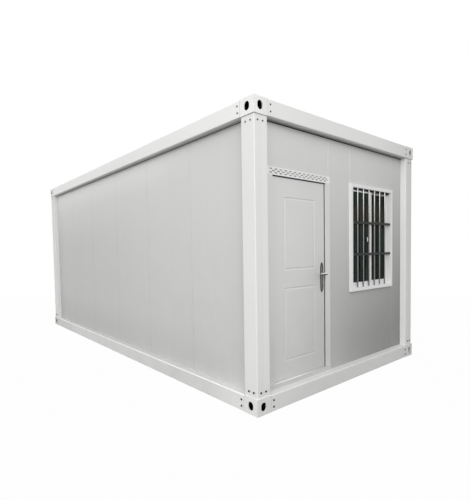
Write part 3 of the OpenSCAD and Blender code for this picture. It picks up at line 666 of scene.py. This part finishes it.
FINISHES = {
    make.__name__: make()
    for make in (
        frame_paint, galvanised_steel, floor_board, ceiling_paint, roof_paint, wall_paint,
        door_frame_paint, seal_rubber, door_paint, lock_steel, hinge_steel, window_plastic,
        window_glazing, grille_steel, fitting_paint, bolt_steel, screen_wire, joint_paint,
        latch_plastic, lever_steel,
    )
}

# Every node takes the finish of its slot, apart from the hollow fittings and the lever
OWN_FINISH = {
    "floor_fittings": "fitting_paint",
    "roof_fittings": "fitting_paint",
    "lever": "lever_steel",
}
for row in frame["record"]["subparts"]:
    finish = FINISHES[OWN_FINISH.get(row["node"], row["material_slot"])]
    mesh = frame["nodes"][row["node"]].data
    mesh.materials.clear()
    mesh.materials.append(finish.material)


# Small pieces

# Places of the frame's bolts from the cabin's corners and the beams' middles, and the floor bolts' scale
POST_BOLT_STEPS = (0.052, 0.114)
POST_BOLT_RISE = 0.052
BEAM_BOLT_STEP = 0.205
BEAM_BOLT_SPREAD = 0.030
FLOOR_BOLT_SIZE = 1.3


def frame_bolt_seats():
    """Seats and normals of the bolts: two at each end of a post's outer faces, and one over the other
    on the beams beside each fitting."""
    places = []
    for sx, sy in CORNERS:
        for z in (floor_z + POST_BOLT_RISE, roof_z - POST_BOLT_RISE):
            for step in POST_BOLT_STEPS:
                places.append(((sx * (half_w - post_inset), sy * (half_l - step), z), (sx, 0, 0)))
                places.append(((sx * (half_w - step), sy * (half_l - post_inset), z), (0, sy, 0)))
        for middle in (floor_z / 2, (roof_z + top_z) / 2):
            for z in (middle - BEAM_BOLT_SPREAD, middle + BEAM_BOLT_SPREAD):
                places.append(((sx * half_w, sy * (half_l - BEAM_BOLT_STEP), z), (sx, 0, 0)))
                places.append(((sx * (half_w - BEAM_BOLT_STEP), sy * half_l, z), (0, sy, 0)))
    return tuple(zip(*places))


def frame_bolts():
    """Turned washers under hexagon heads with a turned crown; the bolts at the floor are larger."""
    seats, normals = frame_bolt_seats()
    sizes = np.where(np.array(seats)[:, 2] < top_z / 2, FLOOR_BOLT_SIZE, 1.0)
    washer_r, washer_t, head_r, head_h = 0.0098, 0.0016, 0.0071, 0.0056
    ring = turned(
        [washer_r, washer_r, washer_r - washer_t / 4, head_r * 0.8],
        [-washer_t / 2, washer_t * 0.75, washer_t, washer_t],
        sides=24,
    )
    shells = stamped(ring, seats, normals, sizes)
    add_piece("frame_washers", *closed(shells), "cabin", "frame_paint", FINISHES["joint_paint"])
    top = washer_t + head_h
    bevel, brow, rise, crown, tip_r = 0.0015, 0.0008, 0.0003, 0.0004, 0.0002
    head = turned(
        [head_r, head_r, head_r * 0.97, head_r * 0.80, head_r * 0.4, tip_r],
        [washer_t / 2, top - bevel, top - brow, top, top + rise, top + crown],
        sides=12,
        hexagon=[1, 1, 1, 0, 0, 0],
    )
    shells = stamped(head, seats, normals, sizes)
    oxide = FINISHES["bolt_steel"]
    add_piece("frame_bolts", *closed(shells), "cabin", "hinge_steel", oxide, smooth=False)


def weld_seams():
    """Ripple beads where the beams meet the fittings: across, the bead is an ellipse, and along it the
    height swells as 1 + ripple cos(2 pi z / pitch)."""
    width, height, pitch, ripple, rows, columns = 0.006, 0.0009, 0.004, 0.3, 120, 12
    arc = np.arange(columns) * 2 * np.pi / columns
    grids = []
    for low, high in ((0.0, floor_z), (roof_z, top_z)):
        z = np.linspace(low + width, high - width, rows)[:, None]
        across = width / 2 * np.cos(arc)
        out = height * (1 + ripple * np.cos(2 * np.pi * z / pitch)) * np.sin(arc)
        for sx, sy in CORNERS:
            side = (sx * (half_w + out), sy * (half_l - fitting_w + across), z)
            front = (sx * (half_w - fitting_w + across), sy * (half_l + out), z)
            grids += [np.stack(np.broadcast_arrays(*each), -1) for each in (side, front)]
    add_piece("weld_seams", *closed(grids), "cabin", "frame_paint", FINISHES["joint_paint"])


def eaves_seals_and_shade():
    """Black rubber strips that close the walls' tops under the roof beams, from post to post; they also
    stand in for the shadow gap there, as painted shade.
    """
    sunk, gap = 0.002, 0.0005
    long_proud, long_tall = 0.0035, 0.0040
    end_proud, end_tall = 0.005, 0.0080
    long_strip = pillow((-sunk, -long_tall), (long_proud, -gap))
    end_strip = pillow((-sunk, -end_tall), (end_proud, -gap))
    x = half_w - fitting_w
    y = half_l - fitting_w
    left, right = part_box("left_wall")[0].x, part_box("right_wall")[1].x
    front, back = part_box("front_wall_middle")[0].y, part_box("back_wall")[1].y
    shells = [
        straight_run((left, -y, roof_z), (left, y, roof_z), (-1, 0, 0), long_strip),
        straight_run((right, -y, roof_z), (right, y, roof_z), (1, 0, 0), long_strip),
        straight_run((-x, front, roof_z), (x, front, roof_z), (0, -1, 0), end_strip),
        straight_run((-x, back, roof_z), (x, back, roof_z), (0, 1, 0), end_strip),
    ]
    add_piece("eaves_seals_and_shade", *closed(shells), "cabin", "seal_rubber", FINISHES["seal_rubber"])


def post_beads():
    """Sealant beads under the roof fittings, along both outer faces of each post."""
    sunk, proud, tall, gap = 0.001, 0.002, 0.0024, 0.0003
    profile = pillow((-sunk, -tall), (proud, -gap), count=12)
    x, y = half_w - post_inset, half_l - post_inset
    far_x, far_y = half_w - fitting_w, half_l - fitting_w
    shells = []
    for sx, sy in CORNERS:
        corner = (sx * x, sy * y, roof_z)
        shells.append(straight_run((sx * x, sy * far_y, roof_z), corner, (sx, 0, 0), profile))
        shells.append(straight_run((sx * far_x, sy * y, roof_z), corner, (0, sy, 0), profile))
    add_piece("post_beads", *closed(shells), "cabin", "frame_paint", FINISHES["joint_paint"])


def vent_screen():
    """A woven screen behind the vent head's slots: its depth is h sin(2 pi x / p) sin(2 pi z / p)."""
    low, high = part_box("vent_head")
    wall, gap, margin, end_margin = 0.004, 0.0015, 0.008, 0.03
    weave, pitch, thick = 0.0003, 0.008, 0.0006
    run = np.linspace(low.x + end_margin, high.x - end_margin, 360)
    rise = np.linspace(low.z + margin, high.z - margin, 22)
    x = run[:, None]
    z = np.concatenate([rise, rise[::-1]])[None]
    depth = np.concatenate([np.zeros(len(rise)), np.full(len(rise), thick)])[None]
    wave = weave * np.sin(2 * np.pi * x / pitch) * np.sin(2 * np.pi * z / pitch)
    y = low.y + wall + gap + depth + wave
    shell = np.stack(np.broadcast_arrays(x, y, z), -1)
    add_piece("vent_screen", *closed([shell]), "cabin", "door_frame_paint", FINISHES["screen_wire"])


def roof_screws():
    """Screws with washers on each rib of the roof sheets: at the edge, halfway up and at the ridge."""
    low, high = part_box("roof_sheets")
    pitch, edge_margin, ridge_margin = 0.235, 0.07, 0.16
    run = high.y - low.y
    count = int(run / pitch)
    y = low.y + (run - (count - 1) * pitch) / 2 + np.arange(count) * pitch
    edge = high.x - edge_margin
    slope_run = edge - ridge_margin
    fall = ROOF_RISE / high.x
    seats = []
    for sx in (-1, 1):
        for x in (edge, edge - slope_run / 2, edge - slope_run):
            top = high.z - fall * x
            seats += [(sx * x, each, top) for each in y]
    radius = np.array([8.5, 8.5, 4.5, 4.5, 4.0, 0.1]) * MM
    height = np.array([-2.0, 0.6, 1.2, 4.2, 5.0, 5.1]) * MM
    screw = turned(radius, height, sides=12, hexagon=[0, 0, 1, 1, 0, 0])
    shells = stamped(screw, seats, [(0, 0, 1)] * len(seats))
    zinc = FINISHES["galvanised_steel"]
    add_piece("roof_screws", *closed(shells), "cabin", "galvanised_steel", zinc, smooth=False)


# Width of the window's meeting stile and thickness of its panes
STILE = 0.044
PANE_THICK = 0.005


def glazing_gaskets():
    """Rubber wedges round both panes on their outer faces, with a rounded lip over the glass."""
    low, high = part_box("window_glass")
    middle = (low.x + high.x) / 2
    inner_y = high.y - PANE_THICK
    lip_w, lip_h, root = 0.0035, 0.003, 0.001
    turn = np.linspace(0, np.pi, 7)
    inset = np.concatenate([[-root], lip_w * (1 - np.cos(turn)) / 2 - root / 2])
    depth = np.concatenate([[-root], lip_h * np.sin(turn)])
    panes = (
        ((low.x, low.y, low.z), (middle - STILE / 2, low.y, high.z)),
        ((middle + STILE / 2, inner_y, low.z), (high.x, inner_y, high.z)),
    )
    for number, (near, far) in enumerate(panes):
        shell = closed([picture_frame(near, far, inset, depth)], ring=True)
        add_piece(f"glazing_gasket_{number}", *shell, "cabin", "seal_rubber", FINISHES["seal_rubber"])


def window_brush_and_shade():
    """A black brush strip under the window's head, in front of the sashes, that also stands in for the
    shade there as painted shade: its lower edge is combed, at d cos(2 pi x / p) from its mean."""
    low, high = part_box("window_sashes")
    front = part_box("window_grille")[1].y
    tall, steps, comb_depth, comb_pitch = 0.022, 420, 0.0012, 0.009
    side_gap, top_gap, end_gap = 0.0006, 0.0004, 0.001
    profile = pillow((front + side_gap, high.z - tall), (low.y - side_gap, high.z - top_gap))
    x = np.linspace(low.x + end_gap, high.x - end_gap, steps)[:, None]
    y, z = profile.T[:, None]
    comb = comb_depth * np.cos(2 * np.pi * x / comb_pitch) * (high.z - z) / tall
    shell = np.stack(np.broadcast_arrays(x, y, z + comb), -1)
    add_piece("window_brush_and_shade", *closed([shell]), "cabin", "seal_rubber", FINISHES["seal_rubber"])


def sash_latch():
    """A moulded latch on the left edge of the outer sash's meeting stile: an arm and a tall thumb tab,
    each in a box given from the stile's edge, the sash's face and the latch's height."""
    low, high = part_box("window_glass")
    height_share = 0.475
    place = np.array([
        (low.x + high.x) / 2 - STILE / 2,
        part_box("window_sashes")[0].y,
        low.z + height_share * (high.z - low.z),
    ])
    arm = lozenge(place + (-0.038, -0.0030, -0.014), place + (0.005, 0.0085, 0.014))
    tab = lozenge(place + (-0.055, -0.0042, -0.026), place + (-0.037, 0.0060, 0.030))
    add_piece("sash_latch", *closed([arm, tab]), "cabin", "window_plastic", FINISHES["latch_plastic"])


def lock_screws():
    """Dished screws at both tips of the inner and the outer lock plate."""
    low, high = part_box("lock_plates")
    leaf_low, leaf_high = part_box("door_leaf")
    plate_t, tip = 0.009, 0.012
    x = (low.x + high.x) / 2
    seats, normals = [], []
    for z in (low.z + tip, high.z - tip):
        seats += [(x, leaf_low.y - plate_t, z), (x, leaf_high.y + plate_t, z)]
        normals += [(0, -1, 0), (0, 1, 0)]
    radius = np.array([5.2, 5.2, 4.6, 3.0, 2.2, 2.0, 0.2]) * MM
    height = np.array([-1.0, 0.6, 1.4, 2.0, 1.9, 0.6, 0.5]) * MM
    screw = turned(radius, height, sides=18)
    shells = stamped(screw, seats, normals)
    add_piece("lock_screws", *closed(shells), "door", "hinge_steel", FINISHES["galvanised_steel"])


def seal_lips():
    """A rounded rubber lip in front of the door seal, on the hinge side, the head and the lock side,
    which stays clear of the leaf by as much as the seal does."""
    low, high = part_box("door_seal")
    thick, reach, sunk, lap = 0.003, 0.0034, 0.0004, 0.0006
    inset, depth = pillow((-sunk, -lap), (thick, reach), count=16).T
    shell = np.roll(picture_frame(low, high, inset, depth), -1, axis=0)
    add_piece("seal_lips", *closed([shell]), "cabin", "seal_rubber", FINISHES["seal_rubber"])


def threshold_nosing():
    """A rounded nosing along the threshold's front edge, in front of the foot of the closed leaf."""
    low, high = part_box("threshold")
    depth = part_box("door_leaf")[0].y - low.y
    clear, inset, sunk, tall = 0.005, 0.001, 0.003, 0.009
    profile = pillow((clear - depth, -sunk), (-inset, tall))
    start = (low.x + inset, low.y, high.z)
    end = (high.x - inset, low.y, high.z)
    shells = [straight_run(start, end, (0, -1, 0), profile)]
    white = FINISHES["window_plastic"]
    add_piece("threshold_nosing", *closed(shells), "cabin", "door_frame_paint", white)


frame_bolts()
weld_seams()
eaves_seals_and_shade()
post_beads()
vent_screen()
roof_screws()
glazing_gaskets()
window_brush_and_shade()
sash_latch()
lock_screws()
seal_lips()
threshold_nosing()


# Camera, floor and light

EYE = (-3.820, -5.288, 1.478)
YAW, PITCH, ROLL = math.radians(38.812), math.radians(-2.571), math.radians(1.049)
FOCAL_PIXELS, LONG_SIDE_PIXELS, SENSOR = 377.4, 500, 36.0
CENTRE_PIXEL = (235.0, 250.0)
AIM_PIXEL = (214.4, 267.5)


def add_camera():
    """A level view turned by yaw, pitch and roll; the aim pixel is where its axis meets the picture."""
    data = bpy.data.cameras.new("camera")
    data.sensor_width = SENSOR
    data.lens = SENSOR * FOCAL_PIXELS / LONG_SIDE_PIXELS
    data.shift_x = (CENTRE_PIXEL[0] - AIM_PIXEL[0]) / LONG_SIDE_PIXELS
    data.shift_y = (AIM_PIXEL[1] - CENTRE_PIXEL[1]) / LONG_SIDE_PIXELS
    camera = bpy.data.objects.new("camera", data)
    camera.matrix_world = (
        Matrix.Translation(EYE)
        @ Matrix.Rotation(-YAW, 4, "Z")
        @ Matrix.Rotation(math.pi / 2 + PITCH, 4, "X")
        @ Matrix.Rotation(-ROLL, 4, "Z")
    )
    bpy.context.scene.collection.objects.link(camera)
    bpy.context.scene.camera = camera


def seen_ray(tree):
    """1 for rays that show a surface to the camera, straight or by a reflection or a pane."""
    path = tree.nodes.new("ShaderNodeLightPath")
    total = path.outputs["Is Camera Ray"]
    for name in ("Is Glossy Ray", "Is Transmission Ray"):
        most = tree.nodes.new("ShaderNodeMath")
        most.operation = "MAXIMUM"
        tree.links.new(total, most.inputs[0])
        tree.links.new(path.outputs[name], most.inputs[1])
        total = most.outputs[0]
    return total


def add_floor():
    """A wide floor that looks nearly white, keeps the object's shadow and fades to the backdrop."""
    reach, drop, lift, near, far = 60.0, 0.001, 0.985, 5.0, 12.0
    grey, rough = 0.16, 0.9
    corners = np.array([(-1, -1), (1, -1), (1, 1), (-1, 1)], float) * reach
    points = np.column_stack([corners, np.full(4, -drop)])
    mesh = bpy.data.meshes.new("floor")
    mesh.from_pydata(points.tolist(), [], [(0, 1, 2, 3)])
    material = bpy.data.materials.new("floor")
    material.use_nodes = True
    tree = material.node_tree
    shader = tree.nodes["Principled BSDF"]
    shader.inputs["Base Color"].default_value = (grey, grey, grey, 1)
    shader.inputs["Roughness"].default_value = rough
    glow = tree.nodes.new("ShaderNodeEmission")
    place = tree.nodes.new("ShaderNodeTexCoord")
    away = tree.nodes.new("ShaderNodeVectorMath")
    away.operation = "LENGTH"
    tree.links.new(place.outputs["Object"], away.inputs[0])
    fade = tree.nodes.new("ShaderNodeMapRange")
    for socket, value in (("From Min", near), ("From Max", far), ("To Min", lift)):
        fade.inputs[socket].default_value = value
    tree.links.new(away.outputs["Value"], fade.inputs["Value"])
    share = tree.nodes.new("ShaderNodeMath")
    share.operation = "MULTIPLY"
    tree.links.new(seen_ray(tree), share.inputs[0])
    tree.links.new(fade.outputs[0], share.inputs[1])
    mix = tree.nodes.new("ShaderNodeMixShader")
    tree.links.new(share.outputs[0], mix.inputs[0])
    tree.links.new(shader.outputs[0], mix.inputs[1])
    tree.links.new(glow.outputs[0], mix.inputs[2])
    tree.links.new(mix.outputs[0], tree.nodes["Material Output"].inputs[0])
    mesh.materials.append(material)
    floor = bpy.data.objects.new("floor", mesh)
    bpy.context.scene.collection.objects.link(floor)


def add_world():
    """White where it is seen, and a soft even light on the object."""
    level = 0.66
    world = bpy.data.worlds.new("studio")
    world.use_nodes = True
    bpy.context.scene.world = world
    tree = world.node_tree
    soft = tree.nodes["Background"]
    soft.inputs["Color"].default_value = (1, 1, 1, 1)
    soft.inputs["Strength"].default_value = level
    white = tree.nodes.new("ShaderNodeBackground")
    white.inputs["Color"].default_value = (1, 1, 1, 1)
    mix = tree.nodes.new("ShaderNodeMixShader")
    tree.links.new(seen_ray(tree), mix.inputs[0])
    tree.links.new(soft.outputs[0], mix.inputs[1])
    tree.links.new(white.outputs[0], mix.inputs[2])
    tree.links.new(mix.outputs[0], tree.nodes["World Output"].inputs[0])


def add_area(name, place, aim, size, power):
    """A square soft box at a place, turned to its aim."""
    data = bpy.data.lights.new(name, "AREA")
    data.size = size
    data.energy = power
    lamp = bpy.data.objects.new(name, data)
    turn = (Vector(place) - Vector(aim)).to_track_quat("Z", "Y")
    lamp.matrix_world = Matrix.Translation(place) @ turn.to_matrix().to_4x4()
    bpy.context.scene.collection.objects.link(lamp)


def add_sun(name, way, spread, strength):
    """A far lamp in the direction of way, soft by its spread in degrees."""
    data = bpy.data.lights.new(name, "SUN")
    data.angle = math.radians(spread)
    data.energy = strength
    lamp = bpy.data.objects.new(name, data)
    turn = Vector(way).to_track_quat("Z", "Y")
    lamp.matrix_world = turn.to_matrix().to_4x4()
    bpy.context.scene.collection.objects.link(lamp)


add_camera()
add_floor()
add_world()
add_area("key", place=(-3.6, -7.2, 3.6), aim=(-1.2, -2.8, 1.6), size=3.0, power=108)
add_sun("side", way=(-0.92, -0.20, 0.22), spread=44, strength=1.18)
add_sun("top", way=(-0.25, -0.30, 0.92), spread=90, strength=0.60)
bpy.context.scene.view_settings.view_transform = "Standard"
